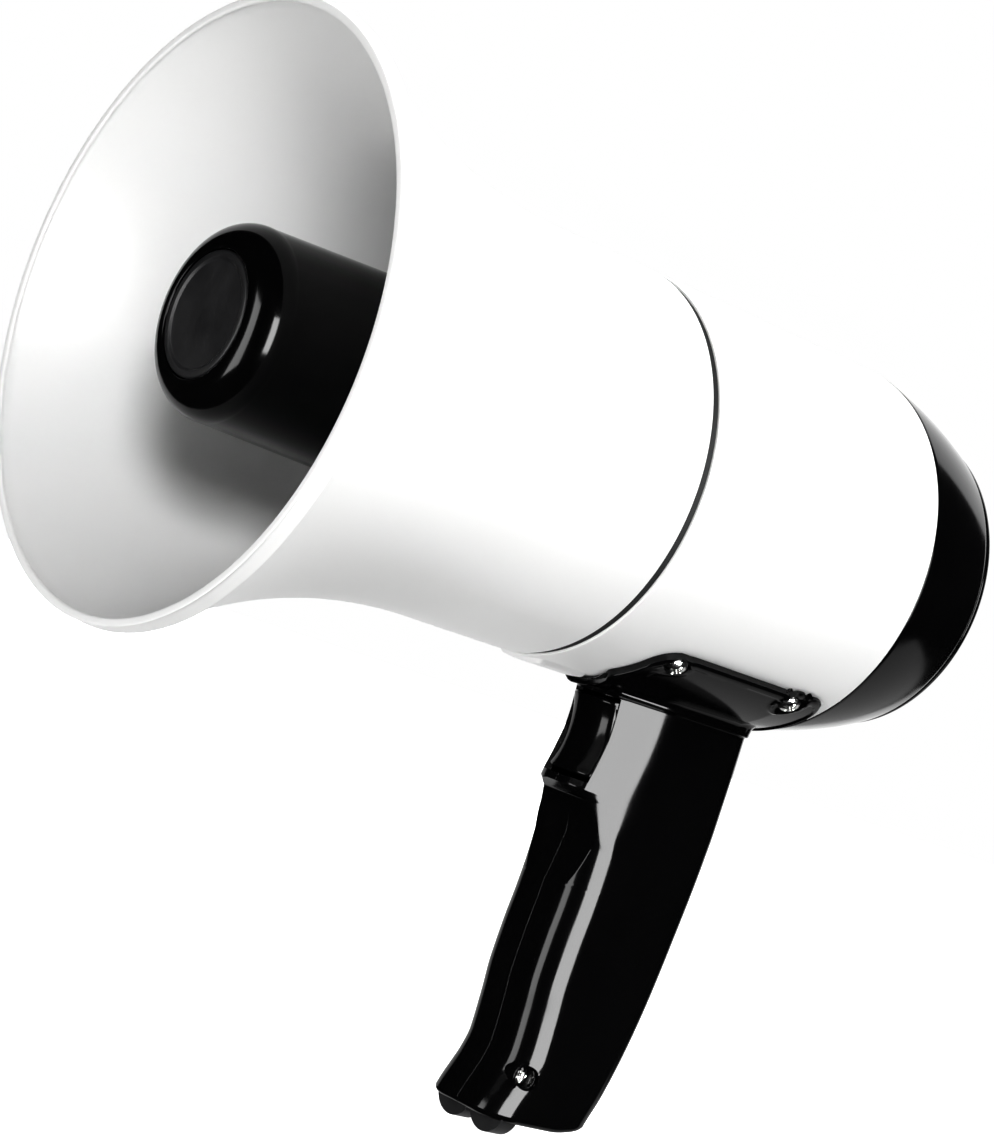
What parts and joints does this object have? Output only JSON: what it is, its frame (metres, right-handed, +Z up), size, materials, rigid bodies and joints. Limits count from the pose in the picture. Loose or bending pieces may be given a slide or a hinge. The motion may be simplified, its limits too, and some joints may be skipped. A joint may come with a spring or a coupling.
{
  "type": "handheld megaphone",
  "caption": "Handheld megaphone: a white re-entrant horn with a black reflector bullet, a domed control cap and a gloss black pistol grip with a talk trigger.",
  "frame": {"origin": "on the horn's axis, in the plane of the mouth's inner edge, 1 mm behind the rim's front face", "axes": "-Y is the way the horn's mouth faces, +Z is up with the grip hanging towards -Z, and +X is the user's left when they look out over the horn"},
  "size_m": [0.155, 0.2429, 0.2503],
  "materials": {
    "white_shell": "moulded white ABS, gloss with a faint moulding grain",
    "black_gloss": "moulded black ABS, high gloss",
    "black_satin": "moulded black ABS, satin",
    "seal_rubber": "moulded black elastomer",
    "foam": "open-cell acoustic foam",
    "screw_steel": "bright nickel-plated steel",
    "spring_steel": "bright drawn steel",
    "driver_plastic": "black phenolic",
    "diaphragm_film": "formed resin film",
    "copper": "enamelled copper winding",
    "ferrite": "sintered ferrite",
    "mic_can": "drawn and extruded aluminium",
    "circuit_board": "solder-masked glass-epoxy laminate",
    "capacitor_sleeve": "shrunk film sleeve",
    "red_button": "moulded red plastic",
    "grey_button": "moulded grey plastic",
    "lamp_lens": "tinted diffusing lens",
    "cell_wrap": "shrunk film wrap over a steel can",
    "lead_jacket": "flexible insulation"
  },
  "bodies": {
    "housing": {"horn_bell": "white_shell", "reflector_bullet": "black_gloss", "bullet_badge": "black_satin", "throat_tube": "black_satin", "bell_screws": "screw_steel", "seam_ring": "seal_rubber", "body_shell": "white_shell", "rear_cap": "black_gloss", "driver_gasket": "seal_rubber", "driver_housing": "driver_plastic", "diaphragm": "diaphragm_film", "voice_coil": "copper", "driver_top_plate": "spring_steel", "driver_magnet": "ferrite", "driver_yoke": "spring_steel", "driver_screws": "screw_steel", "control_panel": "black_satin", "panel_screws": "screw_steel", "mic_grille": "black_satin", "mic_foam": "foam", "mic_grommet": "seal_rubber", "mic_capsule": "mic_can", "volume_pot": "driver_plastic", "mode_switch_body": "driver_plastic", "button_switches": "driver_plastic", "status_lamp": "lamp_lens", "audio_socket": "driver_plastic", "main_board": "circuit_board", "board_screws": "screw_steel", "capacitors": "capacitor_sleeve", "amplifier_chip": "driver_plastic", "heat_sink": "mic_can", "handle_left_shell": "black_gloss", "handle_right_shell": "black_gloss", "saddle_screws": "screw_steel", "handle_screw": "screw_steel", "trigger_pin": "spring_steel", "trigger_spring": "spring_steel", "trigger_switch": "driver_plastic", "battery_cell": "cell_wrap", "cell_holder": "driver_plastic", "top_contact": "spring_steel", "door_pin": "spring_steel", "speaker_lead": "lead_jacket", "battery_lead": "lead_jacket", "switch_lead": "lead_jacket"},
    "trigger": {"trigger": "black_gloss"},
    "switch_plunger": {"switch_plunger": "red_button"},
    "volume_knob": {"volume_knob": "black_satin", "volume_shaft": "spring_steel"},
    "mode_slider": {"mode_slider": "black_satin"},
    "siren_button": {"siren_button": "red_button"},
    "record_button": {"record_button": "grey_button"},
    "battery_door": {"battery_door": "black_satin", "door_contact": "spring_steel"}
  },
  "joints": [
    {"name": "trigger_pull", "type": "hinge", "parent": "housing", "child": "trigger", "pos_m": [0, 0.1612, -0.0585], "axis": [1, 0, 0], "range_deg": [0, 7], "stiffness_Nm_per_rad": 0.25, "springref_deg": -8.59, "deforming": ["trigger_spring"]},
    {"name": "plunger_press", "type": "slide", "parent": "housing", "child": "switch_plunger", "axis": [0, 1, 0], "range_m": [0, 0.0016]},
    {"name": "volume_turn", "type": "hinge", "parent": "housing", "child": "volume_knob", "pos_m": [0.017, 0.2325, -0.009], "axis": [0, 1, 0], "range_deg": [0, 300]},
    {"name": "mode_slide", "type": "slide", "parent": "housing", "child": "mode_slider", "axis": [0, 0, 1], "range_m": [0, 0.004]},
    {"name": "siren_press", "type": "slide", "parent": "housing", "child": "siren_button", "axis": [0, -1, 0], "range_m": [0, 0.001], "stiffness_N_per_m": 800, "springref_m": -0.001},
    {"name": "record_press", "type": "slide", "parent": "housing", "child": "record_button", "axis": [0, -1, 0], "range_m": [0, 0.001], "stiffness_N_per_m": 800, "springref_m": -0.001},
    {"name": "door_swing", "type": "hinge", "parent": "housing", "child": "battery_door", "pos_m": [0, 0.1866, -0.1652], "axis": [1, 0, 0], "range_deg": [0, 100]}
  ],
  "couplings": [
    {"joint": "plunger_press", "follows": "trigger_pull", "m_per_rad": 0.0125}
  ]
}
